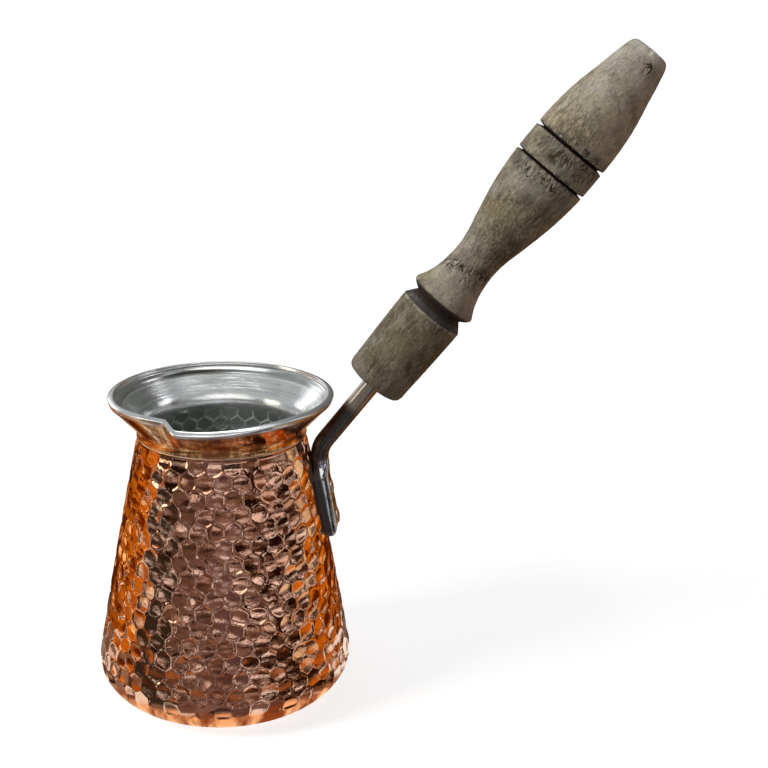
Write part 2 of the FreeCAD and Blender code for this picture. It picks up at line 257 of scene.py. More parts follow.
def makeCopper(look):
    material, start, place = newFinish("hammeredCopper")
    tone, ridge = meshMark(start, "markTone"), meshMark(start, "ridge")
    cloud = place.noise(60.0, 4.0, 0.6)
    stain = (cloud * 0.6 + tone * 0.5).step(0.40, 0.90) * (1 - ridge)
    # ridges kept clear of stain and painted paler: polished copper, and a painted highlight along each ridge
    colour = (ridge * 0.45).blend(stain.blend(look["bright"], look["stained"]), look["ridge"])
    # painted shade: the dark line under the neck seam, where the mark tone is raised above 1
    colour = (tone.step(1.05, 1.50) * 0.85).blend(colour, look["gap"])
    height = place.part("z")
    flange = height.step(*look["flangeStarts"])
    bend = flange * (1 - height.step(*look["bendEnds"]))
    # painted reflection: the flange painted golden with dark vertical blotches
    drawn = place.mapped(look["drawnScale"]).noise(1.0, 3.0, 0.6)
    colour = (flange * 0.75).blend(colour, look["goldenSheen"])
    colour = (flange * drawn.step(0.47, 0.56) * 0.75).blend(colour, look["drawn"])
    # painted highlight: the neck seam made pale and partly matt
    seam = ridge.step(1.1, 1.8)
    colour = seam.blend(colour, look["seam"])
    fine = place.noise(look["fineScale"], 3.0, 0.6)
    rough = look["roughness"] + stain * 0.05 + fine.step(0.45, 0.75) * 0.04 + ridge * 0.08
    rough = rough + flange * 0.06 + bend * 0.10
    streak = place.mapped(look["streakScale"]).noise(1.0, 4.0, 0.6)
    dent = place.noise(look["dentScale"], 3.0, 0.6)
    normal = (fine * 0.5 + streak * 0.4 + dent * 1.3).bump(*look["bump"])
    finishWith(start, {"Base Color": colour, "Metallic": 1 - seam * 0.75, "Roughness": rough, "Normal": normal})
    return material


tinLook = {
    "bright": (0.83, 0.84, 0.83),
    "dull": (0.36, 0.39, 0.36),
    "tint": (0.66, 0.63, 0.69),
    # ridge: pale tin on the ridges and on the line under the rim, a painted highlight
    "ridge": (0.80, 0.84, 0.78),
    # grime: painted shade in the groove under the lip
    "lipShade": (0.060, 0.050, 0.045),
    "roughness": 0.13,
    # below these heights the tin is darker and greyer: painted shade down inside the pot
    "shadedBelow": (0.088, 0.0955),
    "fineScale": 700.0, "ringScale": (30.0, 30.0, 1600.0),
    "lineScale": (45.0, 45.0, 900.0), "lineShift": (3.0, 5.0, 1.0),
    "bump": (0.28, 0.0003), "wavyBump": (0.35, 0.0006),
}


# Tin wiped round the mouth by hand: rougher down inside, and greyer and darker there with painted shade; painted
# shade in the groove under the rim
def makeTin(look):
    material, start, place = newFinish("wipedTin")
    ridge, lipShade = meshMark(start, "ridge"), meshMark(start, "markTone")
    wiped = place.noise(45.0, 5.0, 0.6, 0.6)
    # painted shade: darker and greyer below the neck, down inside the pot
    deep = 1 - place.part("z").step(*look["shadedBelow"])
    dull = wiped.step(0.4, 0.7) * 0.35 + deep * 0.60
    # painted highlight: the ridges and the pale line under the rim made pale
    colour = (ridge * 0.9).blend(dull.blend(look["bright"], look["dull"]), look["ridge"])
    fine = place.noise(look["fineScale"], 4.0, 0.6)
    rings = place.mapped(look["ringScale"]).noise(1.0, 3.0, 0.55)
    lines = place.mapped(look["lineScale"], shift=look["lineShift"]).noise(1.0, 4.0, 0.6)
    colour = (lines.step(0.50, 0.60) * (1 - deep) * 0.35).blend(colour, look["dull"])
    colour = (wiped.step(0.62, 0.42) * (1 - deep) * 0.45).blend(colour, look["tint"])
    # painted shade in the groove under the lip
    colour = (lipShade * (0.40 + lines.step(0.44, 0.54) * 0.6)).blend(colour, look["lipShade"])
    rough = look["roughness"] + wiped * 0.12 + deep * 0.08
    wavy = place.mapped((1.0, 1.0, 2.0)).noise(75.0, 3.0, 0.5, 0.8)
    normal = (fine * 0.4 + rings * 0.9).bump(*look["bump"], wavy.bump(*look["wavyBump"]))
    # ridges less metallic so they show pale: painted highlight
    finishWith(start, {"Base Color": colour, "Metallic": 0.85 - ridge * 0.35, "Roughness": rough, "Normal": normal})
    return material


# Directions along and away from the spade and the rod, each with the distances where its look changes, in metres
ironLook = {
    "dark": (0.014, 0.008, 0.006),
    "brown": (0.050, 0.026, 0.018),
    "worn": (0.26, 0.20, 0.16),
    "edge": (0.030, 0.033, 0.036),
    "polished": (0.50, 0.51, 0.54),
    "bareAndSheen": (0.46, 0.40, 0.34),
    "offWall": (0.98113, 0.0, 0.19335), "face": (0.04655, 0.04685),
    "alongWall": (-0.19335, 0.0, 0.98113), "top": (0.0735, 0.0752),
    "alongRod": (0.6179, 0.0, 0.7863), "rubbed": (0.1020, 0.1090),
    "pitScale": 900.0, "ior": 1.75, "bump": (0.16, 0.0003),
}


# Black forged iron, rubbed bright on the face of the spade, and bare beside the wood where it is also painted light
# as a highlight
def makeIron(look):
    material, start, place = newFinish("oxidisedIron")
    spade = 1 - place.dot(look["alongWall"]).step(*look["top"])
    face = place.dot(look["offWall"]).step(*look["face"]) * spade
    cloud = place.noise(220.0, 5.0, 0.65)
    pits = place.cells(look["pitScale"])
    worn = place.noise(160.0, 4.0, 0.6).step(0.60, 0.80)
    base = cloud.step(0.35, 0.7).blend(look["dark"], look["brown"])
    base = (worn * 0.35).blend(base, look["worn"])
    base = spade.blend(base, look["edge"])
    tarnish = place.noise(300.0, 3.0, 0.6).step(0.50, 0.64) * 0.5
    sleeve = place.dot(look["alongRod"]) + (cloud - 0.5) * 0.006
    # rubbed bare metal beside the wood, and a painted highlight there
    bareAndSheen = sleeve.step(*look["rubbed"]) * (1 - pits.step(0.10, 0.0) * 0.8) * (1 - spade) * 0.65
    base = bareAndSheen.blend(base, look["bareAndSheen"])
    colour = face.blend(base, tarnish.blend(look["polished"], look["brown"]))
    rough = 0.20 + cloud * 0.14 + (spade - face) * 0.25 - face * 0.14 - bareAndSheen * 0.10
    pitted = (pits.step(0.0, 0.3) * 0.4 + cloud * 0.4) * (1 - face * 0.8)
    finishWith(start, {"Base Color": colour, "Metallic": face.most(bareAndSheen), "Roughness": rough, "IOR": look["ior"],
                       "Normal": pitted.bump(*look["bump"])})
    return material


steelLook = {"bright": (0.70, 0.68, 0.65), "dull": (0.40, 0.36, 0.33), "roughness": 0.16, "bump": (0.25, 0.0003)}


def makeSteel(look):
    material, start, place = newFinish("rivetSteel")
    cloud = place.noise(500.0, 4.0, 0.6)
    colour = cloud.step(0.35, 0.75).blend(look["bright"], look["dull"])
    finishWith(start, {"Base Color": colour, "Metallic": 1.0, "Roughness": look["roughness"] + cloud * 0.2,
                       "Normal": place.cells(1300.0).bump(*look["bump"])})
    return material


# The grip's own axis in metres, its colours, and how dark it has become at shares of its length. The chamfer, its
# edge and the greyed end are given as shares of the length too
woodLook = {
    "turn": -38.16, "low": 0.11592, "length": 0.1352,
    "dark": (0.090, 0.068, 0.040), "middle": (0.27, 0.228, 0.150), "pale": (0.54, 0.475, 0.35),
    # soot: the dark of torn fibres, also used for painted shade in the grooves, the notch and the bore
    "grey": (0.42, 0.39, 0.35), "olive": (0.30, 0.245, 0.12), "sootAndShade": (0.018, 0.012, 0.008),
    "lifted": (0.50, 0.46, 0.38), "chipped": (0.58, 0.56, 0.51), "chamfer": (0.040, 0.037, 0.038),
    "ages": ((0.0, 0.48), (0.215, 0.48), (0.25, 0.76), (0.31, 0.82), (0.38, 0.80), (0.47, 0.56), (0.60, 0.74),
             (0.71, 0.63), (0.735, 0.94), (0.85, 1.0), (1.0, 0.96)),
    "edgeStarts": (0.2175, 0.2205), "chamferStarts": (0.2195, 0.2225), "chamferEnds": (0.236, 0.240),
    "greyEnd": (0.745, 0.82),
    "fibreScale": (1500.0, 1500.0, 190.0), "specular": 0.35, "bump": (0.6, 0.0005),
}


# Weathered bare wood: fibres and mottling under grey, olive and dark handled patches, more soiled on the sleeve
# and below the grooves, with torn fibres where the turning tool dug in
def makeWood(look):
    material, start, place = newFinish("weatheredWood")
    torn, burnt, chipped = (meshMark(start, name) for name in ("torn", "burnt", "chipped"))
    along = place.mapped(turn=(0.0, math.radians(look["turn"]), 0.0))
    spot = (along.part("z") - look["low"]) / look["length"]
    speck = along.mapped((1.0, 1.0, 0.55)).noise(1800.0, 3.0, 0.65)
    fibre = along.mapped(look["fibreScale"]).noise(1.0, 4.0, 0.6, 0.4)
    mottle = along.mapped((1.0, 1.0, 0.6)).noise(330.0, 5.0, 0.7, 0.4)
    cloud = along.noise(95.0, 4.0, 0.6, 0.3)
    broad = along.noise(38.0, 3.0, 0.55)
    share = (speck * 0.28 + fibre * 0.18 + mottle * 0.30 + cloud * 0.24).step(0.39, 0.61)
    colour = share.ramp([(0.0, look["dark"]), (0.5, look["middle"]), (1.0, look["pale"])])
    greyed = broad.step(0.47, 0.62) * 0.40 + spot.step(*look["greyEnd"]) * (0.15 + cloud.step(0.42, 0.58) * 0.35)
    colour = greyed.blend(colour, look["grey"])
    colour = (cloud.step(0.46, 0.66) * (1 - broad.step(0.42, 0.58)) * 0.65).blend(colour, look["olive"])
    rubbed = along.noise(120.0, 5.0, 0.75).step(0.54, 0.70) * 0.55
    colour = rubbed.blend(colour, look["dark"])
    colour = colour.darkenedBy(spot.ramp([(at, (tone,) * 3) for at, tone in look["ages"]]))
    crack = along.mapped((1.0, 1.0, 0.22)).noise(620.0, 3.0, 0.6, 1.2)
    line = 1 - abs(crack - 0.5).step(0.0, 0.020)
    colour = (line * 0.30).blend(colour, look["dark"])
    hair = along.mapped((1.0, 1.0, 0.36)).noise(520.0, 2.0, 0.5, 1.6)
    clump = torn * (0.7 + along.noise(300.0, 2.0, 0.5).step(0.42, 0.58) * 0.9)
    ripped = (1 - abs(hair - 0.5).step(0.025, 0.10)) * clump
    lifted = (1 - abs(hair - 0.60).step(0.01, 0.055)) * clump
    colour = (ripped * 0.9).blend(colour, look["sootAndShade"])
    colour = (lifted * 0.55).blend(colour, look["lifted"])
    chamfer = spot.step(*look["chamferStarts"]) * (1 - spot.step(*look["chamferEnds"]))
    edge = (spot + mottle * 0.006).step(*look["edgeStarts"]) * (1 - spot.step(*look["chamferStarts"]))
    colour = (chamfer * (0.95 - mottle.step(0.50, 0.68) * 0.45)).blend(colour, look["chamfer"])
    colour = (edge * mottle.step(0.40, 0.60) * 0.45).blend(colour, look["lifted"])
    # painted shade: near black in the grooves, the notch under the bell and the bore
    colour = burnt.blend(colour, look["sootAndShade"])
    colour = (chipped * (0.3 + mottle.step(0.35, 0.60) * 0.9)).blend(colour, look["chipped"])
    dots = (1 - along.cells(130.0).step(0.020, 0.032)) * 0.7
    colour = dots.blend(colour, look["chipped"])
    height = speck * 0.35 + fibre * 0.35 + mottle * 0.5 - line * 0.3 - ripped * 1.0 + lifted * 0.8
    finishWith(start, {"Base Color": colour, "Roughness": 0.70 - broad * 0.12, "Normal": height.bump(*look["bump"]),
                       "Specular IOR Level": look["specular"]})
    return material


copper = makeCopper(copperLook)
tin = makeTin(tinLook)
iron = makeIron(ironLook)
steel = makeSteel(steelLook)
wood = makeWood(woodLook)
print("finishes made")

# The pot, in mm: one profile for its copper outside and its tinned inside
pot = {
    "height": 103.8, "neckHeight": 91.9, "bellyHeight": 13.4,
    "bellyRadius": 42.4, "restRadius": 30.7, "neckRadius": 27.4, "rimRadius": 36.4,
    "baseTurn": 58.0, "copperWall": 1.5, "tin": 0.25, "crown": 0.41,
    "neckBend": 4.8, "rimBend": 4.0, "rimLean": 20.0,
    "pinchFrom": -158.0, "creaseFrom": -117.5, "creaseTo": -106.0, "fadeFrom": -102.0, "fadeTo": -41.0,
    "lipReach": 1.9, "lipDrop": 1.9, "lipLean": 50.0, "pinchDraw": 1.6, "pinchLift": 0.5, "pinchLean": 12.0,
}
baseTurn = math.radians(pot["baseTurn"])
cornerReach = (pot["bellyRadius"] - pot["restRadius"]) / (1 - math.cos(baseTurn))
cornerDrop = pot["bellyHeight"] / math.sin(baseTurn)
cornerX = pot["bellyRadius"] - cornerReach


def wayRound(cols):
    return np.arange(cols) * 2 * math.pi / cols


# Meridian of the body at a depth inside its outer face: radius, height and the way out, from the floor to the neck
def bodyMeridian(depth, steps):
    wide, deep = cornerReach - depth, cornerDrop - depth
    low = -math.asin((pot["bellyHeight"] - depth) / deep)
    neckX = (pot["neckRadius"] - depth - cornerX) / wide
    neckZ = (pot["neckHeight"] - pot["bellyHeight"]) / deep
    high = math.atan2(neckZ, neckX) - math.acos(1 / math.hypot(neckX, neckZ))
    turn = np.linspace(low, high, steps["corner"])
    cornerR, cornerZ = cornerX + wide * np.cos(turn), pot["bellyHeight"] + deep * np.sin(turn)
    floorR = np.linspace(0.04, 1, steps["floor"] + 1)[:-1] * cornerR[0]
    along = np.linspace(0, 1, steps["wall"] + 1)[1:] ** steps["crowd"]
    wallR = mixed(cornerR[-1], pot["neckRadius"] - depth, along)
    wallZ = mixed(cornerZ[-1], pot["neckHeight"], along)
    swell = 4 * pot["crown"] * along * (1 - along)
    radius = np.concatenate([floorR, cornerR, wallR + swell])
    height = np.concatenate([0 * floorR + depth, cornerZ, wallZ])
    outX = np.concatenate([0 * floorR, np.cos(turn) / wide, 0 * wallR + math.cos(high) / wide])
    outZ = np.concatenate([0 * floorR - 1, np.sin(turn) / deep, 0 * wallR + math.sin(high) / deep])
    size = np.hypot(outX, outZ)
    return radius, height, outX / size, outZ / size


# The flange from the neck to the rim's edge, all the way round: radius, height and lean, one row for each station
def flangeStations(angle, steps):
    a = np.degrees((angle + math.pi) % (2 * math.pi) - math.pi)
    crease = ease((a - pot["creaseFrom"]) / (pot["creaseTo"] - pot["creaseFrom"]))
    press = crease * (1 - ease((a - pot["fadeFrom"]) / (pot["fadeTo"] - pot["fadeFrom"])))
    pinch = ease((a - pot["pinchFrom"]) / (pot["creaseFrom"] - pot["pinchFrom"])) * (1 - crease)
    edgeR = pot["rimRadius"] + pot["lipReach"] * press - pot["pinchDraw"] * pinch
    edgeZ = pot["height"] - pot["lipDrop"] * press + pot["pinchLift"] * pinch
    edgeLean = np.radians(pot["rimLean"] + (pot["lipLean"] - pot["rimLean"]) * press
                          + (pot["pinchLean"] - pot["rimLean"]) * pinch)
    lowX, lowZ = pot["neckRadius"] + pot["neckBend"], pot["neckHeight"]
    highX = edgeR - pot["rimBend"] * np.cos(edgeLean)
    highZ = edgeZ + pot["rimBend"] * np.sin(edgeLean)
    runX, runZ = highX - lowX, highZ - lowZ
    bends = pot["neckBend"] + pot["rimBend"]
    flare = np.arctan2(runX, runZ) + np.arcsin(np.clip(bends / np.hypot(runX, runZ), 0, 0.999))
    low, high = [], []
    for share in np.linspace(0, 1, steps["bend"]):
        lean = flare * share
        low.append((lowX - pot["neckBend"] * np.cos(lean), lowZ + pot["neckBend"] * np.sin(lean), lean))
        lean = mixed(flare, edgeLean, share)
        high.append((highX + pot["rimBend"] * np.cos(lean), highZ - pot["rimBend"] * np.sin(lean), lean))
    straight = [(mixed(low[-1][0], high[0][0], share), mixed(low[-1][1], high[0][1], share), flare)
                for share in np.linspace(0, 1, steps["flare"] + 2)[1:-1]]
    return [np.array(part) for part in zip(*(low + straight + high))]


# Hammer marks, in mm: rows of shallow round facets down from the neck. They run in even rows on the side given by
# facing, a share of a turn, and are shifted about more and more towards the other side
hammer = {
    "seed": 5, "rows": 16, "rowPitch": 5.26, "firstRow": 2.8, "pitch": 5.7, "ball": 20.0,
    "shift": 0.30, "tilt": 0.065, "unevenness": 0.02, "level": 0.27, "soft": 0.08, "ridge": 0.08,
    "starts": (0.3, 0.9), "ends": (83.9, 0.6), "strength": 1.0,
    "facing": -0.25, "wild": 4.5, "wildFrom": 0.17, "wildOver": 0.12,
}
# Inside, the marks are smaller and fainter, and the even rows are on the far side
liningMarks = dict(hammer, level=0.25, ridge=0.11, facing=0.25, rowPitch=4.1, rows=20, strength=0.9)


# The depth below the smooth skin, a tone for each mark, and the ridges between them
def hammerMarks(radius, down, angle, settings):
    random = np.random.default_rng(settings["seed"])
    best = np.full((len(radius), len(angle)), 9.0)
    second = best.copy()
    lean, secondLean, tone = np.zeros_like(best), np.zeros_like(best), np.zeros_like(best)
    for row in range(settings["rows"]):
        rowDown = settings["firstRow"] + row * settings["rowPitch"]
        rowRadius = np.interp(rowDown, down[::-1], radius[::-1])
        count = int(round(2 * math.pi * rowRadius / settings["pitch"]))
        start = settings["facing"] * count + 0.5 * row + random.normal(0, 0.06)
        away = np.abs(((np.arange(count) + 0.5 * row) / count + 0.5) % 1 - 0.5)
        wild = 1 + settings["wild"] * ease((away - settings["wildFrom"]) / settings["wildOver"])
        shiftA, shiftD = random.normal(0, settings["shift"] * 0.5, (2, count)) * wild
        rise = random.normal(0, settings["unevenness"], count)
        tiltA, tiltD = random.normal(0, settings["tilt"], (2, count))
        tones = random.uniform(0, 1, count)
        near = np.abs(down - rowDown) < settings["rowPitch"] * 1.6
        if not near.any():
            continue
        spot = angle / (2 * math.pi) * count - start
        base = np.floor(spot).astype(int)
        pitch = 2 * math.pi * radius[near][:, None] / count
        for step in (-1, 0, 1, 2):
            mark = (base + step) % count
            along = (spot - (base + step))[None, :] * pitch - shiftA[mark][None, :]
            across = (down[near] - rowDown)[:, None] - shiftD[mark][None, :]
            value = (along ** 2 + across ** 2) / (2 * settings["ball"]) + rise[mark][None, :]
            tip = tiltA[mark][None, :] * along + tiltD[mark][None, :] * across
            old, oldSecond, oldLean, oldSecondLean = best[near], second[near], lean[near], secondLean[near]
            closer, runnerUp = value < old, (value >= old) & (value < oldSecond)
            secondLean[near] = np.where(closer, oldLean, np.where(runnerUp, tip, oldSecondLean))
            second[near] = np.where(closer, old, np.minimum(oldSecond, value))
            tone[near] = np.where(closer, tones[mark][None, :], tone[near])
            lean[near] = np.where(closer, tip, oldLean)
            best[near] = np.where(closer, value, old)
    own = 0.5 + 0.5 * ease((second - best) / settings["soft"])
    ridge = np.clip(1.1 - (second - best) / settings["ridge"], 0, 1)
    endsAt, endsOver = settings["ends"]
    inside = ease((settings["level"] - best) / 0.05) * (1 - ease((down - endsAt) / endsOver))[:, None]
    depth = (np.minimum(best - settings["level"], 0) + mixed(secondLean, lean, own)) * inside
    return np.minimum(depth, 0.05), mixed(0.3, tone, inside), ridge * inside


# Where the hammering stops, in mm down from the neck: a rounded seam painted pale as a highlight, a dark line of
# painted shade and a low step below it
neckSeam = {
    "stepDepth": 0.38, "stepStarts": (0.45, 0.35), "stepFades": (1.0, 3.0),
    "seamAt": 0.30, "seamWide": 0.36, "seamProud": 0.28,
    "shadeLineAt": 1.05, "shadeLineWide": 0.34, "shadeLineTone": 1.3,
}


def addNeckSeam(down, drop, tone, ridge, settings):
    (startsAt, startsOver), (fadesAt, fadesOver) = settings["stepStarts"], settings["stepFades"]
    step = settings["stepDepth"] * ease((down - startsAt) / startsOver) * (1 - ease((down - fadesAt) / fadesOver))
    # the seam is marked for its painted highlight, and the line below it for painted shade
    seam = np.exp(-((down - settings["seamAt"]) / settings["seamWide"]) ** 2)[:, None]
    gap = np.exp(-((down - settings["shadeLineAt"]) / settings["shadeLineWide"]) ** 2)[:, None]
    drop = drop - step[:, None] + settings["seamProud"] * seam
    return drop, tone + settings["shadeLineTone"] * gap, np.maximum(ridge, 2 * seam)


# The tinned rim, in mm down from its edge: the turned rings and how far they stand proud of the coat, painted shade
# in the groove under the lip, which is strongest at one place at the back, a pale line of painted highlight below
# it, and the soft round bead that covers the copper's edge
rim = {
    "ringPlaces": (0.0, 0.5, 1.0, 1.3, 1.6, 2.3, 2.6, 3.4, 3.7, 4.2, 20.0),
    "ringHeights": (0.22, 0.26, 0.15, -0.05, -0.20, -0.17, 0.03, 0.07, -0.04, 0.0, 0.0),
    "lipShadeAt": 3.3, "lipShadeWide": 1.4, "lipShadeAround": 0.35, "lipShadeBack": 0.65, "backAt": 1.95, "backWide": 0.60,
    "highlightLineAt": 5.2, "highlightLineWide": 0.28, "highlightLineStrength": 0.8,
    "beadSteps": 10, "beadHalf": 1.12, "beadProud": 0.80, "beadRound": 0.6, "overhang": 1.1, "tuck": (0.2, 0.4),
}


def lengthToEnd(radius, height):  # along the skin, from each ring to the last one
    steps = np.hypot(np.diff(radius, axis=0), np.diff(height, axis=0))
    return np.concatenate([np.cumsum(steps[::-1], 0)[::-1], 0 * radius[:1]])


# One face of the pot from the floor to the rim's edge, at a depth inside the outer face, with its tones and ridges
def potSkin(depth, steps, marks=None):
    angle = wayRound(steps["cols"])
    radius, height, outX, outZ = bodyMeridian(depth, steps)
    down = lengthToEnd(radius, height)
    if marks:
        startsAt, startsOver = marks["starts"]
        drop, tone, ridge = hammerMarks(radius, down, angle, marks)
        drop = drop * marks["strength"] * ease((down - startsAt) / startsOver)[:, None]
        if depth == 0:
            drop, tone, ridge = addNeckSeam(down, drop, tone, ridge, neckSeam)
    else:
        drop = np.zeros((len(radius), len(angle)))
        tone, ridge = drop + 0.3, drop
    r = radius[:, None] + outX[:, None] * drop
    z = height[:, None] + outZ[:, None] * drop
    flangeR, flangeZ, lean = flangeStations(angle, steps)
    plain = np.zeros_like(flangeR[1:])
    stain = plain + 0.3
    inward = depth
    if depth > pot["copperWall"]:
        reach = lengthToEnd(flangeR, flangeZ)
        inward = depth + np.interp(reach, rim["ringPlaces"], rim["ringHeights"])
        # painted shade in the groove under the lip, strongest at the back, and a pale line of painted highlight
        # below it
        back = rim["lipShadeAround"] + rim["lipShadeBack"] * np.exp(-((angle - rim["backAt"]) / rim["backWide"]) ** 2)
        tone, stain = tone * 0, (np.exp(-((reach - rim["lipShadeAt"]) / rim["lipShadeWide"]) ** 4) * back)[1:]
        plain = np.exp(-((reach - rim["highlightLineAt"]) / rim["highlightLineWide"]) ** 2)[1:] * rim["highlightLineStrength"]
    flangeR = flangeR - inward * np.cos(lean)
    flangeZ = flangeZ + inward * np.sin(lean)
    r, z = np.vstack([r, flangeR[1:]]), np.vstack([z, flangeZ[1:]])
    rings = np.stack([r * np.cos(angle), r * np.sin(angle), z], -1)
    return rings, np.vstack([tone, stain]), np.vstack([ridge, plain])


# How finely each face is divided; crowd below 1 brings the wall's rings closer together towards the neck
shellMesh = {"cols": 720, "floor": 3, "corner": 40, "wall": 176, "bend": 7, "flare": 3, "crowd": 1.0}
hiddenMesh = {"cols": 720, "floor": 1, "corner": 30, "wall": 6, "bend": 9, "flare": 1, "crowd": 1.0}
liningMesh = {"cols": 600, "floor": 3, "corner": 10, "wall": 110, "bend": 12, "flare": 22, "crowd": 0.55}


def makeShell():
    outer, tone, ridge = potSkin(0.0, shellMesh, hammer)
    inner, plainTone, plainRidge = potSkin(pot["copperWall"], hiddenMesh)
    rings = np.concatenate([outer, inner[::-1]])
    marks = {"markTone": np.vstack([tone, plainTone[::-1]]), "ridge": np.vstack([ridge, plainRidge[::-1]])}
    shell = ringSkin("copperShell", rings, copper, fanLow=True, fanHigh=True, marks=marks)
    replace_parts(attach(shell, "root"), "pot_body")


# The tin runs down the whole inside from the bead over the rim's edge
def makeLining():
    inside = pot["copperWall"] + pot["tin"]
    inner, tone, ridge = potSkin(inside, liningMesh, liningMarks)
    angle = wayRound(liningMesh["cols"])
    lean = flangeStations(angle, liningMesh)[2][-1]
    way = np.stack([np.cos(angle), np.sin(angle), 0 * angle], -1)
    up = np.array([0, 0, 1.0])
    across = way * np.cos(lean)[:, None] - up * np.sin(lean)[:, None]
    along = way * np.sin(lean)[:, None] + up * np.cos(lean)[:, None]
    centre = inner[-1] + across * (inside / 2)
    bead = []
    for turn in np.linspace(0, math.pi, rim["beadSteps"])[1:]:
        wide, high = math.cos(turn), math.sin(turn)
        bead.append(centre - across * rim["beadHalf"] * math.copysign(abs(wide) ** rim["beadRound"], wide)
                    + along * rim["beadProud"] * abs(high) ** rim["beadRound"])
    tuckIn, tuckDown = rim["tuck"]
    lip = centre + across * rim["beadHalf"] - along * rim["overhang"]
    under = centre + across * (inside / 2 - tuckIn) - along * (rim["overhang"] + tuckDown)
    rings = np.concatenate([inner, np.array(bead), lip[None], under[None]])
    plain = np.zeros((len(bead) + 2, len(angle)))
    marks = {"markTone": np.vstack([tone, plain]), "ridge": np.vstack([ridge, plain])}
    lining = ringSkin("tinLining", rings, tin, fanLow=True, marks=marks, flip=True)
    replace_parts(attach(lining, "root"), "tin_lining")


makeShell()
makeLining()
print("pot made")

# The turned grip, in mm along its own axis from its lower end
grip = {
    "low": (49.4696, 0.0, 108.5526), "rise": 51.84, "length": 135.2, "largest": 12.96, "seed": 23,
    "bore": 3.05, "boreSeen": 12.0, "peenedPart": 0.66, "washerSeat": 3.9, "washerDepth": 1.3,
    "fineWaves": 0.035, "slowWaves": 0.07,
    "outline": (
        (0.0, 8.75), (0.25, 9.45), (0.8, 10.0), (1.6, 10.25), (4.0, 10.38), (13.0, 10.66), (19.8, 10.82),
        (28.6, 10.98), (29.6, 10.98), (29.9, 10.9), (30.4, 10.5), (31.5, 9.7), (32.7, 8.72), (33.1, 8.5),
 (33.5, 8.8), (34.2, 9.9),
        (35.0, 10.85), (35.5, 11.2), (36.0, 11.28), (36.5, 11.1), (37.1, 10.75), (38.6, 9.95), (41.2, 8.93),
        (43.8, 8.2), (46.3, 7.82), (48.9, 7.55), (51.4, 7.45), (54.0, 7.55), (56.5, 7.88), (59.0, 8.35),
        (61.5, 8.95), (64.0, 9.53), (66.6, 10.1), (69.0, 10.6), (71.6, 11.12), (74.0, 11.55), (76.5, 11.93),
        (79.0, 12.22), (81.5, 12.48), (84.0, 12.68), (88.9, 12.9), (93.7, 12.92), (98.6, 12.85), (103.5, 12.68),
        (108.3, 12.3), (113.1, 11.65), (117.9, 10.68), (122.6, 9.6), (127.4, 8.62), (131.0, 7.75), (133.4, 7.1),
        (134.4, 6.55), (135.0, 5.9), (135.2, 5.2)),
    "grooves": ((87.8, 0.52, 2.1), (97.3, 0.66, 2.3)),
    # torn patches: place, spread, way round, spread round, strength
    "torn": ((47.4, 3.0, 2.75, 0.55, 1.0), (47.2, 2.0, 4.1, 0.75, 1.0), (84.0, 2.2, 3.45, 0.80, 0.75),
             (93.0, 2.6, 3.2, 1.00, 0.60), (95.4, 1.0, 2.66, 0.28, 0.9), (99.3, 0.8, 2.9, 0.7, 0.6),
             (130.0, 1.6, 3.0, 0.25, 0.8), (26.5, 2.6, 4.22, 0.10, 1.0), (59.0, 1.6, 3.15, 0.2, 0.5),
             (60.0, 5.0, 0.3, 0.8, 0.6)),
    "scar": (72.4, 75.8, 2.72, 0.035),  # from, to, way round, half width in radians
    # the notch under the bell: place and half width, and how strongly it is darkened with painted shade
    "notch": (33.7, 2.3), "notchShade": 0.97,
    # the end's edge: from, over, depth of the wear and of the chips, and the side that is worn most
    "worn": (131.5, 3.0), "pale": (131.8, 1.6), "wearDepth": 0.35, "wornSide": (3.0, 0.9),
    "rows": 330, "cols": 220,
}


# Smooth random heights on a ring grid that joins up all the way round
def rollingNoise(random, rows, cols, highRows, highCols):
    a, b = np.arange(rows) / rows, np.arange(cols) / cols * 2 * math.pi
    total = np.zeros((rows, cols))
    for _ in range(26):
        f, g = random.uniform(0.3, highRows), random.integers(0, highCols + 1)
        lengthwise = np.sin(2 * math.pi * f * a[:, None] + random.uniform(0, 6.3))
        total += lengthwise * np.cos(g * b[None, :] + random.uniform(0, 6.3))
    return total / 5


def turnedFrom(angle, turn):
    return (angle - turn + math.pi) % (2 * math.pi) - math.pi


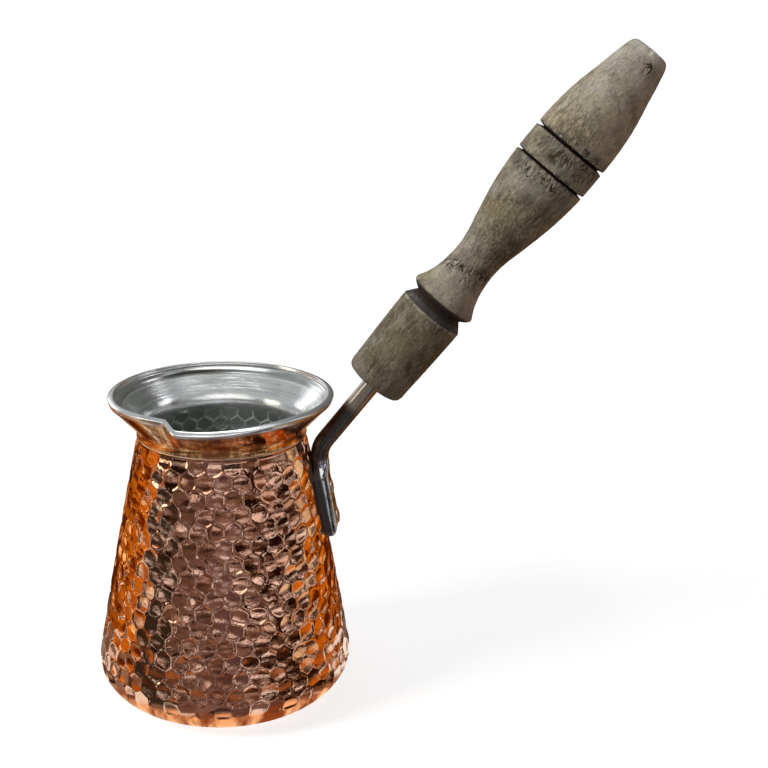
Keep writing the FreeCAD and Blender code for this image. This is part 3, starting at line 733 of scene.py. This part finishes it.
def makeGrip(settings):
    random = np.random.default_rng(settings["seed"])
    places, radii = np.array(settings["outline"]).T
    fine = np.linspace(0, settings["length"], settings["rows"])
    extra = [np.linspace(at - wide, at + wide, 9) for at, wide, deep in settings["grooves"]]
    along = np.unique(np.round(np.concatenate([fine, places] + extra), 3))
    slope = np.gradient(radii, places)
    radius = np.interp(along, places, radii)
    for i in range(len(places) - 1):  # smooth stretches follow a curve, short ones stay straight
        gap = places[i + 1] - places[i]
        if gap > 1.7:
            inside = (along > places[i]) & (along < places[i + 1])
            t = (along[inside] - places[i]) / gap
            radius[inside] = ((2 * t ** 3 - 3 * t ** 2 + 1) * radii[i] + (t ** 3 - 2 * t ** 2 + t) * gap * slope[i]
                              + (3 * t ** 2 - 2 * t ** 3) * radii[i + 1] + (t ** 3 - t ** 2) * gap * slope[i + 1])
    cols = settings["cols"]
    angle = wayRound(cols)
    r = np.repeat(radius[:, None], cols, 1)
    rough = rollingNoise(random, len(along), cols, 60, 40)
    slow = rollingNoise(random, len(along), cols, 7, 5)
    r += settings["fineWaves"] * rough + settings["slowWaves"] * slow
    torn, burnt = np.zeros_like(r), np.zeros_like(r)
    for at, wide, deep in settings["grooves"]:
        ragged = rollingNoise(random, 1, cols, 1, 60)[0] * 0.18
        side = np.abs(along[:, None] - at - ragged[None, :] * 0.5) / (wide * (1 + 0.25 * ragged[None, :]))
        cut = np.clip(1 - side, 0, 1)
        r -= deep * cut ** 0.8
        # painted shade in each groove
        burnt = np.maximum(burnt, ease(cut * 2.2))
        torn = np.maximum(torn, 0.5 * np.clip(1.8 - side * 0.5, 0, 1))
    notchAt, notchHalf = settings["notch"]
    notch = np.clip(1 - np.abs(along - notchAt) / notchHalf, 0, 1)[:, None]
    # painted shade in the notch under the bell
    burnt = np.maximum(burnt, ease(notch * 3.0) * settings["notchShade"])
    for at, spread, turn, width, strength in settings["torn"]:
        off = turnedFrom(angle, turn)
        patch = np.exp(-(((along - at) / spread) ** 2)[:, None] - ((off / width) ** 2)[None, :])
        torn = np.maximum(torn, strength * np.clip(patch * 1.6, 0, 1))
    scarLow, scarHigh, scarTurn, scarWide = settings["scar"]
    scar = np.clip(np.minimum(along - scarLow, scarHigh - along) / 0.5, 0, 1)[:, None]
    scar = scar * np.clip(1.5 - np.abs(angle - scarTurn) / scarWide, 0, 1)[None, :]
    r += 0.10 * scar
    (wornAt, wornOver), (paleAt, paleOver) = settings["worn"], settings["pale"]
    sideTurn, sideWide = settings["wornSide"]
    chip = rollingNoise(random, 1, cols, 1, 14)[0]
    side = np.exp(-(turnedFrom(angle, sideTurn) / sideWide) ** 2)
    wear = (settings["wearDepth"] * np.clip(chip, 0, 1) + settings["wearDepth"] * side)[None, :]
    r -= ease((along - wornAt) / wornOver)[:, None] * wear
    pale = ease((along - paleAt) / paleOver)[:, None] * np.clip(0.9 * side + 0.4 * chip, 0, 0.95)[None, :]
    chipped = np.maximum(0.6 * scar, pale)
    r = np.minimum(r, settings["largest"])
    outside = np.stack([r * np.sin(angle), r * np.cos(angle), np.repeat(along[:, None], cols, 1)], -1)
    flat = np.zeros((2, cols))
    circle = np.stack([np.sin(angle), np.cos(angle), 0 * angle], -1)
    end, seat = np.array([0, 0, settings["length"]]), np.array([0, 0, settings["length"] - settings["washerDepth"]])
    top = [circle * settings["washerSeat"] + end, circle * settings["washerSeat"] + seat,
           circle * settings["bore"] * settings["peenedPart"] + seat]
    low = [circle * settings["bore"] + np.array([0, 0, settings["boreSeen"]]), circle * settings["bore"]]
    rings = np.concatenate([np.array(low), outside, np.array(top)])
    marks = {"torn": np.vstack([flat, torn, flat, flat[:1] + 0.4]),
             # the bore's two rings get painted shade
             "burnt": np.vstack([flat + 0.9, burnt, flat, flat[:1]]),
             "chipped": np.vstack([flat, chipped, flat, flat[:1]])}
    turn = math.radians(90 - settings["rise"])
    turned = rings.copy()
    turned[..., 0] = rings[..., 0] * math.cos(turn) + rings[..., 2] * math.sin(turn) + settings["low"][0]
    turned[..., 2] = rings[..., 2] * math.cos(turn) - rings[..., 0] * math.sin(turn) + settings["low"][2]
    piece = ringSkin("turnedGrip", turned, wood, fanLow=True, marks=marks, sharp=50, flip=True)
    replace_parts(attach(piece, "root"), "wooden_handle")


makeGrip(grip)
print("grip made")

# The iron and steel keep the solids' own meshes
for node, finish in (("handle_rod", iron), ("rivet_upper", steel), ("rivet_lower", steel), ("end_washer", steel)):
    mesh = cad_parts[node].data
    mesh.materials.clear()
    mesh.materials.append(finish)
print("rod and rivets finished")

# Floor, surroundings and lamps
stageSet = {
    "floor": 30.0, "floorTone": 0.30, "glowNear": 0.82, "glowFar": 1.0, "glowOver": (0.12, 0.75),
    "worldSeen": 1.0, "worldLight": 0.13,
    "room": 1.7,
    "front": ((0.014, 0.007, 0.005), (0.076, 0.050, 0.043), (0.245, 0.193, 0.180), (0.95, 1.08, 1.20)),
    "side": ((0.10, 0.020, 0.001), (0.36, 0.112, 0.004), (0.72, 0.260, 0.015), (1.40, 1.10, 0.55)),
    "pale": ((0.05, 0.020, 0.008), (0.25, 0.13, 0.055), (0.54, 0.42, 0.29), (1.05, 1.25, 1.15)),
    "warmer": (0.86, 0.66, 0.48),
    "back": ((0.05, 0.05, 0.045), (0.15, 0.155, 0.14), (0.72, 0.75, 0.74), (1.0, 1.0, 1.0)),
    "screen": (0.030, 0.028, 0.020), "lilac": (0.110, 0.082, 0.110), "line": (0.95, 0.95, 0.72),
    "top": ((0.11, 0.12, 0.11), (0.44, 0.47, 0.48)), "ceiling": (1.15, 1.2, 1.2),
    "near": ((0.30, 0.10, 0.03), (1.10, 0.80, 0.48)), "frontNear": ((0.045, 0.018, 0.008), (0.46, 0.23, 0.10)),
    # pale windows: way to the middle, cosines of their edge, colour
    "windows": (((0.77, 0.15, 0.62), 0.975, 0.993, (2.4, 2.45, 2.45)),
                ((-0.60, 0.73, 0.33), 0.955, 0.985, (1.8, 1.85, 1.85)),
                ((-0.89, -0.22, 0.39), 0.970, 0.982, (3.6, 3.3, 2.9))),
    "strip": ((0.50, 0.54, 0.80, 0.87), (1.6, 1.6, 1.56)),
}


def anyOf(start, names):  # 1 on the named kinds of ray
    rays = start.node("ShaderNodeLightPath").socket.node.outputs
    share = Signal(start.tree, rays[names[0]])
    for name in names[1:]:
        share = share.most(Signal(start.tree, rays[name]))
    return share


def linkStage(name, points, faces, material, onlyReflected):
    mesh = bpy.data.meshes.new(name)
    mesh.from_pydata(points, [], faces)
    mesh.materials.append(material)
    piece = bpy.data.objects.new(name, mesh)
    bpy.context.scene.collection.objects.link(piece)
    if onlyReflected:
        piece.visible_camera = False
        piece.visible_diffuse = False
        piece.visible_shadow = False
        piece.visible_transmission = False


def makeFloor(settings):
    material, start, place = newFinish("paleFloor")
    seen = anyOf(start, ("Is Camera Ray", "Is Glossy Ray", "Is Transmission Ray"))
    away = place.length().step(*settings["glowOver"])
    glow = (away * seen).blend((settings["glowNear"],) * 3, (settings["glowFar"],) * 3)
    glow = seen.blend((0.0, 0.0, 0.0), glow)
    matt = start.node("ShaderNodeBsdfDiffuse", {}, {0: (settings["floorTone"],) * 3})
    light = start.node("ShaderNodeEmission", {}, {0: glow, 1: 1.0})
    start.node("ShaderNodeOutputMaterial", {}, {0: start.node("ShaderNodeAddShader", {}, {0: matt, 1: light})})
    half = settings["floor"]
    linkStage("floor", [(-half, -half, 0), (half, -half, 0), (half, half, 0), (-half, half, 0)], [(0, 1, 2, 3)],
              material, False)


def makeWorld(settings):
    world = bpy.data.worlds.new("studio")
    bpy.context.scene.world = world
    world.use_nodes = True
    world.node_tree.nodes.clear()
    start = Signal(world.node_tree, None)
    seen = anyOf(start, ("Is Camera Ray", "Is Glossy Ray", "Is Transmission Ray"))
    strength = settings["worldLight"] + seen * (settings["worldSeen"] - settings["worldLight"])
    glow = start.node("ShaderNodeBackground", {}, {0: (1.0, 1.0, 1.0), 1: strength})
    start.node("ShaderNodeOutputWorld", {}, {0: glow})


# The colours round the pot by the way they lie from it: mauve brown in front, a dark screen and then a pale strip on
# its left, a pale line on its right, orange beyond them and plain greys behind. All but the greys run as straight
# edges across the table, so they lie further round for places near the pot
def surround(way, x, y, near, edge, low, back, strip, settings):
    broad = way.noise(3.0, 2.0, 0.5, 0.3)
    fine = way.mapped((1.0, 1.0, 2.6)).noise(8.0, 3.0, 0.6, 0.4)
    patch = way.mapped((1.0, 1.0, 1.3), shift=(3.1, 1.7, 5.2)).noise(4.0, 2.0, 0.5, 0.4)
    wave = (broad - 0.5) * 0.30
    left = y - x * 0.303 + near * 0.043 + wave * 0.4
    right = y - edge + wave * 0.4
    leftward = 1 - x.step(-0.02, 0.02)
    pale = leftward * left.step(0.17, 0.22) * (1 - left.step(0.34, 0.44)) * strip
    side = leftward.node("ShaderNodeMix", {}, {0: leftward, 2: right.step(0.0, 0.06), 3: left.step(0.17, 0.27)})
    side = side * (1 - pale)
    pale = pale.most(side.most(x.step(0.70, 0.90)) * low * 0.38)
    side = side * (1 - low)
    behind = y.step(0.74, 0.86) * (1 - low) * back
    rightFront = x.step(0.30, 0.70) * (1 - side) * (1 - pale)
    busy = 0.5 + (patch - 0.5) * (1 + rightFront * 0.45 + pale * 0.5 - side * 0.15)
    busy = busy - rightFront * 0.040 - side * 0.045 + pale * 0.02 - y.step(0.60, 0.80) * 0.05
    shade = (fine * 0.5 + broad * 0.5).step(0.38, 0.62) - rightFront * 0.30
    colours = []
    for part in zip(settings["front"], settings["side"], settings["pale"], settings["back"]):
        colours.append(behind.blend(pale.blend(side.blend(part[0], part[1]), part[2]), part[3]))
    leaning = shade * (1 - behind) + behind * (1 - x.step(-0.30, 0.10))
    colour = leaning.blend(colours[1], colours[2])
    colour = (1 - busy.step(0.410, 0.440)).blend(colour, colours[0])
    colour = rightFront.blend(colour, settings["warmer"], "MULTIPLY")
    colour = busy.step(0.585, 0.610).blend(colour, colours[3])
    front = 1 - y.step(-0.60, -0.40)
    lilac = (1 - abs(x - 0.09).step(0.05, 0.15)) * front * 0.5
    colour = lilac.blend(colour, settings["lilac"])
    screen = leftward * (1 - abs(left).step(0.17, 0.21)) * x.step(-0.30, -0.60)
    colour = (screen * busy.step(0.68, 0.64) * 0.94).blend(colour, settings["screen"])
    line = (1 - leftward) * (1 - abs(right - 0.03).step(0.055, 0.085)) * (1 - low)
    return (line * (0.35 + fine.step(0.40, 0.55) * 0.6)).blend(colour, settings["line"])


def makeRoom(settings):
    material, start, place = newFinish("roomWalls")
    way = place.mapped((1 / settings["room"],) * 3)
    x, y, z = (way.part(axis) for axis in "xyz")
    walls = surround(way, x, y, 1 / settings["room"], 0.38, 0.0, 1.0, 0.0, settings)
    soft = way.mapped((1.0, 1.0, 0.6)).noise(3.0, 3.0, 0.55, 0.4)
    darker = way.dot((0.62, 0.72, 0.31)).step(0.60, 0.93)
    top = ((1 - darker) * (0.35 + soft * 1.0)).blend(*settings["top"])
    low, rise, fall, high = settings["strip"][0]
    colour = z.step(0.42, 0.54).most(z.step(0.16, 0.28) * y.step(-0.25, 0.0)).blend(walls, top)
    front = 1 - y.step(-0.62, -0.45)
    colour = (z.step(low, rise) * (1 - z.step(fall, high)) * front).blend(colour, settings["strip"][1])
    glint = z.step(0.27, 0.29) * (1 - z.step(0.33, 0.35)) * front * soft.step(0.50, 0.56)
    colour = glint.blend(colour, settings["front"][3])
    ceiling = z.step(0.60, 0.70) * y.step(-0.24, -0.12) * (1 - y.step(0.20, 0.35))
    ceiling = ceiling * (1 - abs(x).step(0.35, 0.5))
    colour = ceiling.blend(colour, settings["ceiling"])
    for aim, outer, inner, tone in settings["windows"]:
        colour = way.dot(aim).step(outer, inner).blend(colour, tone)
    start.node("ShaderNodeOutputMaterial", {}, {0: start.node("ShaderNodeEmission", {}, {0: colour, 1: 1.0})})
    rises, turns = np.radians(np.linspace(-4, 90, 24)), np.radians(np.arange(0, 360, 10))
    r = settings["room"]
    points = [(r * math.cos(a) * math.cos(e), r * math.sin(a) * math.cos(e), r * math.sin(e))
              for e in rises for a in turns]
    n = len(turns)
    faces = [(i * n + j, i * n + (j + 1) % n, (i + 1) * n + (j + 1) % n, (i + 1) * n + j)
             for i in range(len(rises) - 1) for j in range(n)]
    linkStage("room", points, faces, material, True)


# The table top as the metal sees it: warm close under the pot, then like the walls beyond it
def makeTable(settings):
    material, start, place = newFinish("tableTop")
    away = place.length()
    x, y = (place.part(axis) / away for axis in "xy")
    log = start.sum("LOGARITHM", away, 2.718)
    way = start.node("ShaderNodeCombineXYZ", {}, {0: x, 1: y, 2: log * 0.40})
    low = 1 - log.step(-2.40, -2.20)
    edge = (log * 0.72 + 0.868).most(-0.40).least(0.38)
    near = 1 / away
    strip = near.step(1.4, 2.2) * (1 - near.step(4.5, 6.5))
    far = surround(way, x, y, near, edge, low, 0.25, strip, settings)
    streak = way.mapped((1.0, 1.0, 0.5)).noise(5.0, 4.0, 0.6, 0.4).step(0.40, 0.64)
    front = (1 - y.step(-0.75, -0.45)) * away.step(0.078, 0.090) * (1 - away.step(0.102, 0.120))
    far = (front * 0.9).blend(far, streak.blend(*settings["frontNear"]))
    colour = away.step(0.044, 0.051).blend(streak.blend(*settings["near"]), far)
    start.node("ShaderNodeOutputMaterial", {}, {0: start.node("ShaderNodeEmission", {}, {0: colour, 1: 1.0})})
    turns = np.radians(np.arange(0, 360, 6))
    points = [(r * math.cos(a), r * math.sin(a), 0.0006) for r in (0.034, 1.66) for a in turns]
    n = len(turns)
    linkStage("tableTop", points, [(j, n + j, n + (j + 1) % n, (j + 1) % n) for j in range(n)], material, True)


# Square lamps: place, what they point at and size in metres
lamps = {
    "keyLamp": {"place": (-1.05, -0.55, 0.95), "aim": (0.05, 0, 0.12), "size": 0.40, "power": 19.0,
                "colour": (1.0, 0.985, 0.95), "reflected": False},
    "warmLamp": {"place": (1.0, -0.5, 0.15), "aim": (0.08, 0, 0.12), "size": 0.3, "power": 1.3,
                 "colour": (1.0, 0.50, 0.22), "reflected": False},
    "topLamp": {"place": (-0.1, 0.15, 1.4), "aim": (0.03, 0, 0.1), "size": 0.7, "power": 4.5,
                "colour": (1.0, 1.0, 1.0), "reflected": True},
}


def makeLamp(name, place, aim, size, power, colour, reflected):
    data = bpy.data.lights.new(name, "AREA")
    data.shape = "RECTANGLE"
    data.size, data.size_y = size, size
    data.energy = power
    data.color = colour
    lamp = bpy.data.objects.new(name, data)
    bpy.context.scene.collection.objects.link(lamp)
    lamp.location = place
    lamp.rotation_mode = "QUATERNION"
    lamp.rotation_quaternion = (Vector(aim) - Vector(place)).to_track_quat("-Z", "Y")
    lamp.visible_camera = False
    lamp.visible_glossy = reflected


makeFloor(stageSet)
makeWorld(stageSet)
makeRoom(stageSet)
makeTable(stageSet)
for name, settings in lamps.items():
    makeLamp(name, **settings)
bpy.context.scene.view_settings.view_transform = "Standard"
print("stage lit")
